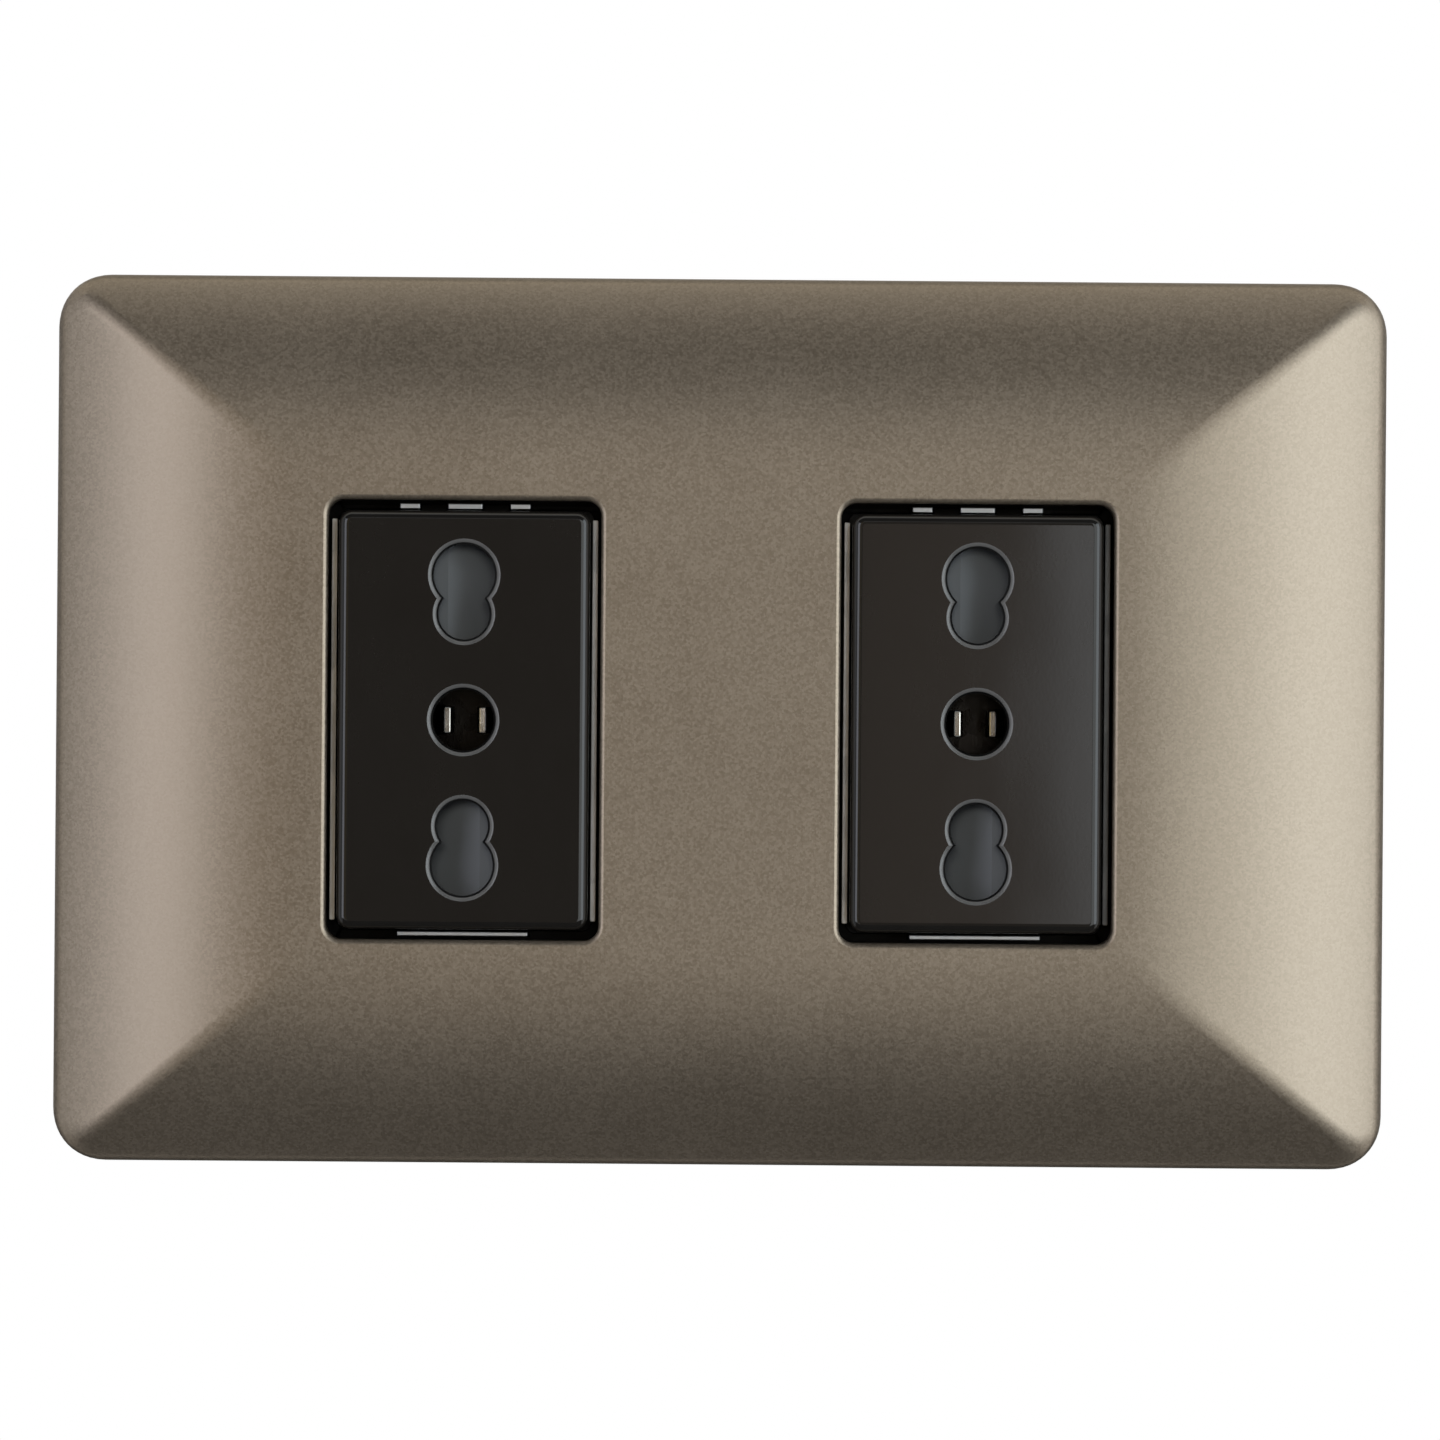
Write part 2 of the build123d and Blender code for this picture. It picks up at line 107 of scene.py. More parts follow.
class Value:
    """A shader socket that takes part in Python arithmetic by adding Math nodes."""

    def __init__(self, tree: NodeTree, socket: bpy.types.NodeSocket | None) -> None:
        """Keeps the socket, if the node has one, and the tree that it belongs to."""
        self.tree = tree
        self.socket = socket

    def _math(self, operation: str, first: Operand, second: Operand) -> Value:
        """Adds one Math node and returns its result."""
        return self.tree.node("ShaderNodeMath", {"operation": operation}, {0: first, 1: second})

    def __add__(self, other: Operand) -> Value:
        """This value plus another."""
        return self._math("ADD", self, other)

    def __radd__(self, other: Operand) -> Value:
        """Another value plus this one."""
        return self._math("ADD", other, self)

    def __sub__(self, other: Operand) -> Value:
        """This value less another."""
        return self._math("SUBTRACT", self, other)

    def __rsub__(self, other: Operand) -> Value:
        """Another value less this one."""
        return self._math("SUBTRACT", other, self)

    def __mul__(self, other: Operand) -> Value:
        """This value times another."""
        return self._math("MULTIPLY", self, other)

    def __rmul__(self, other: Operand) -> Value:
        """Another value times this one."""
        return self._math("MULTIPLY", other, self)


Operand = Union[Value, float, int]


class NodeTree:
    """A node tree and the one call that adds nodes to it."""

    def __init__(self, tree: bpy.types.NodeTree) -> None:
        """Empties the tree and keeps it."""
        self.tree = tree
        self.tree.nodes.clear()

    def node(
        self,
        kind: str,
        settings: dict[str, Any] | None = None,
        sockets: dict[int | str, Any] | None = None,
        output: int | str = 0,
    ) -> Value:
        """Adds a node.

        Args:
            kind: The node's type.
            settings: Its properties, set before the sockets.
            sockets: Numbers, colours or links for its inputs, by name or index.
            output: Which of its outputs to return.

        Returns:
            The chosen output.
        """
        made = self.tree.nodes.new(kind)
        for key, value in (settings or {}).items():
            setattr(made, key, value)
        for key, value in (sockets or {}).items():
            if isinstance(value, Value):
                self.tree.links.new(value.socket, made.inputs[key])
            else:
                made.inputs[key].default_value = value
        return Value(self, made.outputs[output] if made.outputs else None)

    def seen(self) -> Value:
        """1 for rays from the camera and for mirrored or passing rays, 0 for those that carry light."""
        rays = [
            self.node("ShaderNodeLightPath", output=kind)
            for kind in ("Is Camera Ray", "Is Glossy Ray", "Is Transmission Ray")
        ]
        first = self.node("ShaderNodeMath", {"operation": "MAXIMUM"}, {0: rays[0], 1: rays[1]})
        return self.node("ShaderNodeMath", {"operation": "MAXIMUM"}, {0: first, 1: rays[2]})


class Shader(NodeTree):
    """One material's node tree, with the few patterns that the finishes need."""

    def __init__(self, name: str) -> None:
        """Starts a material of that name with an empty tree."""
        self.material = bpy.data.materials.new(name)
        self.material.use_nodes = True
        super().__init__(self.material.node_tree)

    def coordinates(self) -> Value:
        """Object coordinates, in metres."""
        return self.node("ShaderNodeTexCoord", output="Object")

    def noise(self, feature: float, detail: float, stretch: Point = (1.0, 1.0, 1.0)) -> Value:
        """Soft random values.

        Args:
            feature: Size of a blotch in metres.
            detail: How many finer layers are added.
            stretch: Factors on the three axes; a small one draws the blotches out along that axis.

        Returns:
            A value around 0.5.
        """
        place = self.node(
            "ShaderNodeMapping", {"vector_type": "POINT"}, {"Vector": self.coordinates(), "Scale": stretch}
        )
        sockets = {"Vector": place, "Scale": 1.0 / feature, "Detail": detail, "Roughness": NOISE_ROUGHNESS}
        return self.node("ShaderNodeTexNoise", {"noise_dimensions": "3D"}, sockets)

    def cells(self, feature: float) -> Value:
        """A random value for each cell of that size, in metres."""
        sockets = {"Vector": self.coordinates(), "Scale": 1.0 / feature, "Randomness": 1.0}
        tint = self.node("ShaderNodeTexVoronoi", {"feature": "F1"}, sockets, output="Color")
        return self.node("ShaderNodeSeparateColor", {"mode": "RGB"}, {"Color": tint}, output="Red")

    def along(self, axis: str) -> Value:
        """One of the object coordinates, X, Y or Z, in metres."""
        return self.node("ShaderNodeSeparateXYZ", None, {"Vector": self.coordinates()}, output=axis)

    def ramp(self, value: Value, low: float, high: float) -> Value:
        """Rises softly from 0 to 1 while a value goes from one limit to the other."""
        sockets = {"Value": value, "From Min": low, "From Max": high}
        return self.node("ShaderNodeMapRange", {"interpolation_type": "SMOOTHSTEP"}, sockets)

    def between(self, factor: Operand, first: Colour | Value, second: Colour | Value) -> Value:
        """Mixes two colours by a factor from 0 to 1."""
        sockets: dict[int | str, Any] = {0: factor}
        for index, tint in ((6, first), (7, second)):
            sockets[index] = tint if isinstance(tint, Value) else (*tint, 1.0)
        return self.node("ShaderNodeMix", {"data_type": "RGBA"}, sockets, output=2)

    def bump(self, height: Value, distance: float) -> Value:
        """Tilts the surface normal by a height value times a distance in metres."""
        sockets = {"Height": height, "Distance": distance, "Strength": 1.0}
        return self.node("ShaderNodeBump", None, sockets)

    def surface(self, sockets: dict[int | str, Any]) -> bpy.types.Material:
        """Ends the tree in a Principled surface with these sockets and returns the material."""
        skin = self.node("ShaderNodeBsdfPrincipled", {"distribution": "MULTI_GGX"}, sockets)
        self.node("ShaderNodeOutputMaterial", {"target": "ALL"}, {"Surface": skin})
        return self.material


@dataclass(frozen=True)
class MetallicPaint:
    """Satin lacquer with fine metal flake."""

    name: str
    dark: Colour
    light: Colour
    metallic: float
    roughness: float
    flake: float
    cloud: float = 9 * MM
    peel: float = 0.9 * MM
    flake_share: float = 0.7
    flake_rough: float = 0.07
    cloud_rough: float = 0.05
    ripple: float = 0.012 * MM

    def material(self) -> bpy.types.Material:
        """Returns the paint as a material."""
        shader = Shader(self.name)
        flakes = shader.cells(self.flake)
        cloud = shader.noise(self.cloud, detail=2.0)
        peel = shader.noise(self.peel, detail=1.0)
        grain = shader.noise(self.flake, detail=1.0)
        tone = flakes * self.flake_share + cloud * (1.0 - self.flake_share)
        steady = self.roughness - (self.flake_rough + self.cloud_rough) / 2
        rough = flakes * self.flake_rough + cloud * self.cloud_rough + steady
        return shader.surface(
            {
                "Base Color": shader.between(tone, self.dark, self.light),
                "Metallic": self.metallic,
                "Roughness": rough,
                "IOR": PLASTIC_IOR,
                "Normal": shader.bump((peel + grain) * 0.5, self.ripple),
            }
        )


@dataclass(frozen=True)
class Moulding:
    """Moulded plastic, from glossy to finely textured."""

    name: str
    colour: Colour
    second_tone: Colour
    roughness: float
    specular: float
    grain: float
    grain_height: float
    wave: float
    wave_height: float
    cloud: float = 7 * MM
    smear: float = 2.2 * MM
    smear_stretch: Point = (1.0, 1.0, 0.35)
    main_share: float = 0.6
    steady: float = 0.5
    relief: float = 1.0 * MM

    def material(self) -> bpy.types.Material:
        """Returns the plastic as a material."""
        shader = Shader(self.name)
        cloud = shader.noise(self.cloud, detail=3.0)
        smear = shader.noise(self.smear, detail=4.0, stretch=self.smear_stretch)
        grain = shader.noise(self.grain, detail=2.0)
        wave = shader.noise(self.wave, detail=1.0)
        height = grain * self.grain_height + wave * self.wave_height
        lesser = 1.0 - self.main_share
        tone = cloud * self.main_share + smear * lesser
        rough = (smear * self.main_share + cloud * lesser + self.steady) * self.roughness
        return shader.surface(
            {
                "Base Color": shader.between(tone, self.colour, self.second_tone),
                "Roughness": rough,
                "Specular IOR Level": self.specular,
                "IOR": PLASTIC_IOR,
                "Normal": shader.bump(height, self.relief),
            }
        )


@dataclass(frozen=True)
class PaintedEdgeLight:
    """Edge of a black moulding, painted grey at its rim as a highlight and painted black below as the
    shade in the hole.
    """

    name: str
    rim: Colour
    second_tone: Colour
    painted_hole_shade: Colour
    level: float
    fade: float
    roughness: float
    specular: float
    cloud: float = 2 * MM
    cloud_rough: float = 0.2

    def material(self) -> bpy.types.Material:
        """Returns the edge as a material."""
        shader = Shader(self.name)
        cloud = shader.noise(self.cloud, detail=3.0)
        # Painted highlight and shade: above the level the edge is painted grey as a highlight, below it
        # near black as the shade inside the hole.
        height = 0.0 - shader.along("Y")
        share = shader.ramp(height, self.level - self.fade, self.level)
        painted_edge_light = shader.between(cloud, self.rim, self.second_tone)
        return shader.surface(
            {
                "Base Color": shader.between(share, self.painted_hole_shade, painted_edge_light),
                "Roughness": cloud * self.cloud_rough + (self.roughness - self.cloud_rough / 2),
                "Specular IOR Level": self.specular,
                "IOR": PLASTIC_IOR,
            }
        )


@dataclass(frozen=True)
class PaintedShade:
    """Painted shade on plating: a zone painted dark where shade falls, by its heights above the wall and
    its reach up and down.

    Upright lips within the sides' reach stay bright a little further down, but those in the shaded span
    along X are painted dark to the top, and so is whatever lies above the upper level.
    """

    low: float
    high: float
    fade: float
    reach: float
    share: float = 0.98
    sides: float = 0.0
    side_lift: float = 0.025 * MM
    side_share: float = 0.75
    shaded_span: tuple[float, float] = (0.0, 0.0)
    upper: float = 0.0
    tint: Colour = (0.012, 0.011, 0.010)
    soft: float = 0.1 * MM
    reach_soft: float = 1.0 * MM

    def mask(self, shader: Shader) -> Value:
        """How strongly the painted shade darkens the plating, from 0 to 1."""
        # Painted shade: this mask paints the plating near black where shade falls.
        height = 0.0 - shader.along("Y")
        level = shader.along("Z")
        offset = shader.node("ShaderNodeMath", {"operation": "ABSOLUTE"}, {0: level})
        start = shader.ramp(height, self.low - self.soft, self.low)
        within = 1.0 - shader.ramp(offset, self.reach, self.reach + self.reach_soft)
        if not self.sides:
            end = shader.ramp(height, self.high, self.high + self.fade)
            return start * (1.0 - end) * within * self.share
        beside = 1.0 - shader.ramp(offset, self.sides, self.sides + self.soft)
        end = shader.ramp(height + beside * self.side_lift, self.high, self.high + self.fade)
        zone = (1.0 - end) * within * self.share
        first, last = self.shaded_span
        place = shader.along("X")
        entered = shader.ramp(place, first, first + self.soft)
        passed = shader.ramp(place, last, last + self.soft)
        lips = beside * entered * (1.0 - passed) * self.side_share
        above = shader.ramp(level, self.upper, self.upper + self.soft) * within * self.share
        return start * (1.0 - (1.0 - zone) * (1.0 - lips) * (1.0 - above))


@dataclass(frozen=True)
class PlatedMetal:
    """Plated sheet, wire or turned metal."""

    name: str
    colour: Colour
    dull: Colour
    roughness: float
    spangle: float
    scratch: Point
    painted_shade: PaintedShade | None = None
    cloud: float = 4 * MM
    scratch_size: float = 0.16 * MM
    spangle_share: float = 0.35
    spangle_rough: float = 0.1
    scratch_rough: float = 0.14
    scratch_share: float = 0.7
    relief: float = 0.006 * MM

    def material(self) -> bpy.types.Material:
        """Returns the plated metal as a material."""
        shader = Shader(self.name)
        spangle = shader.cells(self.spangle)
        cloud = shader.noise(self.cloud, detail=4.0)
        scratch = shader.noise(self.scratch_size, detail=3.0, stretch=self.scratch)
        tone = spangle * self.spangle_share + cloud * (1.0 - self.spangle_share)
        steady = self.roughness - (self.spangle_rough + self.scratch_rough) / 2
        rough = spangle * self.spangle_rough + scratch * self.scratch_rough + steady
        height = scratch * self.scratch_share + spangle * (1.0 - self.scratch_share)
        plating = shader.between(tone, self.colour, self.dull)
        # Painted shade: where the mask says, the plating is painted near black.
        if self.painted_shade:
            plating = shader.between(self.painted_shade.mask(shader), plating, self.painted_shade.tint)
        return shader.surface(
            {
                "Base Color": plating,
                "Metallic": 1.0,
                "Roughness": rough,
                "Normal": shader.bump(height, self.relief),
            }
        )


@dataclass(frozen=True)
class Finishes:
    """Every finish of the socket, as materials by the record's slot."""

    plate: MetallicPaint = MetallicPaint(
        "pewter_paint", (0.207, 0.168, 0.126), (0.293, 0.245, 0.190), 0.80, 0.40, 0.2 * MM
    )
    module: Moulding = Moulding(
        "gloss_black", (0.0085, 0.0075, 0.0068), (0.0125, 0.0115, 0.0105), 0.055, 0.36,
        0.25 * MM, 0.0004, 16 * MM, 0.016,
    )
    # Painted highlight and shade on the hole edges: grey within 0.16 mm of the face, near black deeper in
    # the hole.
    hole_edge: PaintedEdgeLight = PaintedEdgeLight(
        "hole_edge_painted_light", (0.070, 0.069, 0.068), (0.130, 0.128, 0.126), (0.004, 0.004, 0.004),
        9.44 * MM, 0.08 * MM, 0.30, 0.45,
    )
    shutter: Moulding = Moulding(
        "shutter_grey", (0.088, 0.094, 0.103), (0.118, 0.124, 0.133), 0.55, 0.26,
        0.10 * MM, 0.004, 5 * MM, 0.004,
    )
    block: Moulding = Moulding(
        "block_black", (0.018, 0.017, 0.016), (0.032, 0.031, 0.030), 0.52, 0.42,
        0.14 * MM, 0.012, 6 * MM, 0.010,
    )
    zinc: PlatedMetal = PlatedMetal(
        "zinc_sheet", (0.80, 0.80, 0.80), (0.64, 0.65, 0.66), 0.50, 2.6 * MM, (0.25, 1.0, 1.0),
        # Painted shade: the frame's sheet is painted dark where it lies in shade around the modules, as
        # are the lip at the right module's right side and the upper part of the top lips.
        PaintedShade(
            0.25 * MM, 7.065 * MM, 0.05 * MM, 22 * MM,
            sides=18.3 * MM, shaded_span=(33.9 * MM, 35.6 * MM), upper=19.3 * MM,
        ),
    )
    contact: PlatedMetal = PlatedMetal(
        "tinned_bronze", (0.86, 0.84, 0.80), (0.70, 0.68, 0.63), 0.24, 1.2 * MM, (1.0, 0.2, 0.12),
        # Painted shade: the contacts are painted near black from 10.9 mm to 2.2 mm behind the wall, deep
        # in the holes where shade falls.
        PaintedShade(-10.9 * MM, -2.2 * MM, 0.6 * MM, 30 * MM),
    )
    screw: PlatedMetal = PlatedMetal(
        "zinc_screw", (0.68, 0.67, 0.62), (0.50, 0.49, 0.45), 0.30, 0.35 * MM, (1.0, 1.0, 1.0)
    )
    spring: PlatedMetal = PlatedMetal(
        "spring_wire", (0.52, 0.52, 0.54), (0.36, 0.36, 0.38), 0.24, 0.3 * MM, (1.0, 0.4, 0.4)
    )

    def by_slot(self) -> dict[Slot, bpy.types.Material]:
        """Returns a material for each slot."""
        return {
            Slot.PLATE: self.plate.material(),
            Slot.MODULE: self.module.material(),
            Slot.SHUTTER: self.shutter.material(),
            Slot.BLOCK: self.block.material(),
            Slot.ZINC: self.zinc.material(),
            Slot.CONTACT: self.contact.material(),
            Slot.SCREW: self.screw.material(),
            Slot.SPRING: self.spring.material(),
        }


Materials = dict[Slot, bpy.types.Material]


def dress_node(node: bpy.types.Object, material: bpy.types.Material) -> None:
    """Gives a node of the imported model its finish."""
    node.data.materials.clear()
    node.data.materials.append(material)


def soften_edges(
    node: bpy.types.Object, width: float, segments: int = 2, joined: bool = True
) -> None:
    """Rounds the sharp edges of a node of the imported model.

    Args:
        node: The object to soften.
        width: Width of the rounding in metres.
        segments: Steps across the rounding.
        joined: Whether the triangles of a flat face are joined first.
    """
    weld = node.modifiers.new("weld", "WELD")
    weld.merge_threshold = WELD_REACH
    if joined:
        flat = node.modifiers.new("whole_faces", "DECIMATE")
        flat.decimate_type = "DISSOLVE"
        flat.angle_limit = math.radians(FLAT_TURN)
    bevel = node.modifiers.new("soft_edge", "BEVEL")
    bevel.use_clamp_overlap = False
    bevel.width = width
    bevel.segments = segments
    bevel.limit_method = "ANGLE"
    bevel.angle_limit = math.radians(EDGE_TURN)


def finished_piece(
    name: str, mesh: bmesh.types.BMesh, material: bpy.types.Material, sharp: float = 30.0
) -> bpy.types.Object:
    """Turns a bmesh into a shown object.

    Args:
        name: The piece's name.
        mesh: Its shape, in place, which is freed.
        material: Its finish.
        sharp: Turn in degrees above which an edge stays crisp.

    Returns:
        The object, linked to the scene.
    """
    data = bpy.data.meshes.new(name)
    mesh.to_mesh(data)
    mesh.free()
    data.shade_smooth()
    data.set_sharp_from_angle(angle=math.radians(sharp))
    data.materials.append(material)
    piece = bpy.data.objects.new(name, data)
    bpy.context.scene.collection.objects.link(piece)
    return piece


@dataclass(frozen=True)
class Ring:
    """Rounded rectangle that a skin passes through; its sides and its ends each have a height."""

    half_width: float
    half_height: float
    corner: float
    side_height: float
    end_height: float
    centre_x: float = 0.0

    def carried(self, place: Vector, target: Ring) -> Vector:
        """Where a point of this ring comes to lie on another ring.

        Args:
            place: A point of this ring.
            target: The ring to carry it to, with the same middle.

        Returns:
            The matching point of the target.
        """
        across = place.x - self.centre_x
        turn_x = max(abs(across) - self.half_width + self.corner, 0.0)
        turn_z = max(abs(place.z) - self.half_height + self.corner, 0.0)
        share = turn_x**2 / (turn_x**2 + turn_z**2)
        height = target.side_height * share + target.end_height * (1.0 - share)
        x = self._stretched(across, self.half_width, target.half_width, target.corner)
        z = self._stretched(place.z, self.half_height, target.half_height, target.corner)
        return Vector((x + target.centre_x, -height, z))

    def _stretched(self, value: float, half: float, new_half: float, new_corner: float) -> float:
        """Stretches the straight and the rounded part of one axis each by its own factor."""
        straight = half - self.corner
        new_straight = new_half - new_corner
        beyond = abs(value) - straight
        if beyond <= 0.0:
            return value * new_straight / straight
        return math.copysign(new_straight + beyond * new_corner / self.corner, value)


def ring_outline(
    mesh: bmesh.types.BMesh, ring: Ring, steps: int, cuts: int = 0
) -> list[bmesh.types.BMEdge]:
    """Adds a level rounded rectangle of edges.

    Args:
        mesh: The bmesh to add to.
        ring: The rectangle's size, corners, height and middle.
        steps: Edges in each corner.
        cuts: Extra points on each straight side.

    Returns:
        The edges of the outline.
    """
    before = set(mesh.edges)
    corners = bmesh.ops.create_grid(mesh, x_segments=1, y_segments=1, size=0.5)["verts"]
    bmesh.ops.scale(mesh, verts=corners, vec=(2 * ring.half_width, 2 * ring.half_height, 1.0))
    bmesh.ops.rotate(mesh, verts=corners, cent=(0, 0, 0), matrix=UPRIGHT)
    bmesh.ops.translate(mesh, verts=corners, vec=(ring.centre_x, -ring.side_height, 0.0))
    bmesh.ops.bevel(
        mesh, geom=corners, offset=ring.corner, segments=steps, profile=0.5, affect="VERTICES", material=-1
    )
    edges = [edge for edge in mesh.edges if edge not in before]
    if cuts:
        long_edges = [edge for edge in edges if edge.calc_length() > 2 * ring.corner]
        bmesh.ops.subdivide_edges(mesh, edges=long_edges, cuts=cuts)
        edges = [edge for edge in mesh.edges if edge not in before]
    faces = {face for edge in edges for face in edge.link_faces}
    bmesh.ops.delete(mesh, geom=list(faces), context="FACES_ONLY")
    return edges


def extrude_ring(
    mesh: bmesh.types.BMesh, edges: list[bmesh.types.BMEdge], ring: Ring, target: Ring
) -> list[bmesh.types.BMEdge]:
    """Draws a ring of edges out to another ring and returns the new edges."""
    made = bmesh.ops.extrude_edge_only(mesh, edges=edges)["geom"]
    verts = {item for item in made if isinstance(item, bmesh.types.BMVert)}
    for vert in verts:
        vert.co = ring.carried(vert.co, target)
    return [
        item
        for item in made
        if isinstance(item, bmesh.types.BMEdge) and all(vert in verts for vert in item.verts)
    ]


def draw_through(
    mesh: bmesh.types.BMesh, edges: list[bmesh.types.BMEdge], rings: list[Ring]
) -> list[bmesh.types.BMEdge]:
    """Draws a skin through rings, from the edges of the first, and returns the last ring's edges."""
    for ring, target in zip(rings, rings[1:]):
        edges = extrude_ring(mesh, edges, ring, target)
    return edges


def rounded_edge(width: float, first: float, last: float, steps: int) -> list[tuple[float, float]]:
    """Section of the softly rounded edge of an opening.

    Args:
        width: How far the rounding reaches out from the opening's wall.
        first: Tilt in degrees where it leaves the face.
        last: Tilt in degrees where it drops into the opening.
        steps: Steps along the curve.

    Returns:
        Distances out from the wall, each with its drop below the face.
    """
    start, end = math.radians(first), math.radians(last)
    radius = width / (math.sin(end) - math.sin(start))
    points = []
    for step in range(steps + 1):
        tilt = start + (end - start) * step / steps
        out = width - radius * (math.sin(tilt) - math.sin(start))
        points.append((out, radius * (math.cos(start) - math.cos(tilt))))
    return points


def extrude_profile(mesh: bmesh.types.BMesh, points: Iterable[Point], along: Point) -> None:
    """Adds a closed prism from a flat outline and the vector it is drawn along."""
    face = mesh.faces.new([mesh.verts.new(point) for point in points])
    made = bmesh.ops.extrude_face_region(mesh, geom=[face], use_keep_orig=True)["geom"]
    verts = [item for item in made if isinstance(item, bmesh.types.BMVert)]
    bmesh.ops.translate(mesh, verts=verts, vec=along)


@dataclass
class CoverPlate:
    """Pillow-shaped cover plate with two windows, collars, ribs and snap hooks behind it."""

    width: float = 120 * MM
    height: float = 80 * MM
    rise: float = 9 * MM
    skirt: float = 2 * MM
    wall: float = 2 * MM
    corner: float = 5 * MM
    ridge: float = 1.2 * MM
    ridge_rate: float = 0.9
    rim_round: float = 1.8 * MM
    rim_corner: float = 3.2 * MM
    foot_round: float = 0.25 * MM
    foot_steps: int = 3
    flat_width: float = 72 * MM
    flat_height: float = 41 * MM
    window_width: float = 24.5 * MM
    window_height: float = 39.5 * MM
    window_corner: float = 1.4 * MM
    bevel_width: float = 0.42 * MM
    bevel_first: float = 12.0
    bevel_last: float = 60.0
    sharp: float = 11.0
    pitch: float = 46 * MM
    collar_wall: float = 1.2 * MM
    collar_end: float = 4.8 * MM
    rib_wall: float = 1 * MM
    rib_reach: float = 7 * MM
    rib_offset: float = 12 * MM
    rib_root: float = 7.3 * MM
    rib_tip_root: float = 6.7 * MM
    hook_spacing: float = 60 * MM
    hook_width: float = 7 * MM
    hook_inner: float = 30.15 * MM
    hook_wall: float = 1.3 * MM
    hook_root: float = 5.9 * MM
    hook_catch: float = 3.23 * MM
    hook_barb: float = 1 * MM
    hook_land: float = 0.5 * MM
    hook_tip: float = 1.3 * MM
    levels: int = 24
    rim_steps: int = 7
    bevel_steps: int = 8
    corner_steps: int = 12
    side_cuts: int = 36

    def front_profile(self, half: float, flat: float) -> list[tuple[float, float]]:
        """Section of the front from the skirt's foot over the rounded rim to the flat.

        Args:
            half: Distance from the plate's middle to its edge.
            flat: Distance from the middle to the end of the flat.

        Returns:
            Distances from the middle, each with its height above the wall.
        """
        run = half - flat
        fall = self.rise - self.skirt
        radius = (run**2 + fall**2) / (2 * fall)
        inset_run = run - self.rim_round
        inset_radius = radius - self.rim_round
        centre = self.rise - radius
        rim_centre = centre + math.sqrt(inset_radius**2 - inset_run**2)
        tangent = math.asin(inset_run / inset_radius)
        points = [(half, 0.0)]
        for step in range(self.rim_steps + 1):
            angle = math.pi / 2 + (tangent - math.pi / 2) * step / self.rim_steps
            reach = half - self.rim_round + self.rim_round * math.sin(angle)
            points.append((reach, rim_centre + self.rim_round * math.cos(angle)))
        for level in range(1, self.levels + 1):
            angle = tangent * (1 - level / self.levels)
            points.append((flat + radius * math.sin(angle), centre + radius * math.cos(angle)))
        return points

    def back_profile(self, half: float, flat: float) -> list[tuple[float, float]]:
        """Section of the hollow back from the skirt's foot to the flat, as front_profile gives it."""
        run = half - flat
        fall = self.rise - self.skirt
        outer_radius = (run**2 + fall**2) / (2 * fall)
        radius = outer_radius - self.wall
        centre = self.rise - outer_radius
        rim = math.asin((run - self.wall) / radius)
        points = [(half - self.wall, 0.0)]
        for level in range(self.levels + 1):
            angle = rim * (1 - level / self.levels)
            points.append((flat + radius * math.sin(angle), centre + radius * math.cos(angle)))
        return points

    def rings(self, corners: list[float], front: bool) -> list[Ring]:
        """Rings of one skin.

        Args:
            corners: Corner radii of the lowest rings; after them the corners tighten to the ridge.
            front: True for the front, False for the hollow back.

        Returns:
            The rings from the skirt's foot to the flat.
        """
        section = self.front_profile if front else self.back_profile
        side = section(self.width / 2, self.flat_width / 2)
        end = section(self.height / 2, self.flat_height / 2)
        made = []
        for index, ((half_width, side_height), (half_height, end_height)) in enumerate(zip(side, end)):
            past = index - len(corners) + 1
            spread = (corners[-1] - self.ridge) * math.exp(-self.ridge_rate * past)
            corner = corners[index] if past <= 0 else self.ridge + spread
            made.append(Ring(half_width, half_height, corner, side_height, end_height))
        return made

    def window_rings(self, centre_x: float) -> list[Ring]:
        """Rings of a window, from the plate's face over the bevel to the back of its wall."""
        edge = rounded_edge(self.bevel_width, self.bevel_first, self.bevel_last, self.bevel_steps)
        made = [self.window_ring(out, self.rise - drop, centre_x) for out, drop in edge]
        made.append(self.window_ring(0.0, self.rise - self.wall, centre_x))
        return made

    def window_ring(self, outset: float, height: float, centre_x: float) -> Ring:
        """A window's outline, set out on all sides, at one height."""
        half_width = self.window_width / 2 + outset
        half_height = self.window_height / 2 + outset
        return Ring(half_width, half_height, self.window_corner + outset, height, height, centre_x)

    def middles(self) -> tuple[float, float]:
        """Where the two windows have their middles along X."""
        return (-self.pitch / 2, self.pitch / 2)

    def skin(self, mesh: bmesh.types.BMesh) -> None:
        """Adds the closed shell: front, skirt, windows and hollow back."""
        fade = (self.corner - self.rim_corner) / self.rim_steps
        rim_corners = [self.corner - fade * step for step in range(self.rim_steps + 1)]
        front = self.rings([self.corner, *rim_corners], True)
        back = self.rings([self.corner - self.wall] * 2, False)
        foot = ring_outline(mesh, front[0], self.corner_steps, self.side_cuts)
        front_flat = draw_through(mesh, foot, front)
        back_flat = draw_through(mesh, foot, [front[0], *back])
        for middle in self.middles():
            rings = self.window_rings(middle)
            mouth = ring_outline(mesh, rings[0], self.corner_steps)
            front_flat += mouth
            back_flat += draw_through(mesh, mouth, rings)
        bmesh.ops.triangle_fill(mesh, edges=front_flat, use_beauty=True, normal=(0, -1, 0))
        bmesh.ops.triangle_fill(mesh, edges=back_flat, use_beauty=True, normal=(0, 1, 0))
        bmesh.ops.bevel(
            mesh, geom=foot, offset=self.foot_round, segments=self.foot_steps, profile=0.5,
            affect="EDGES", material=-1,
        )

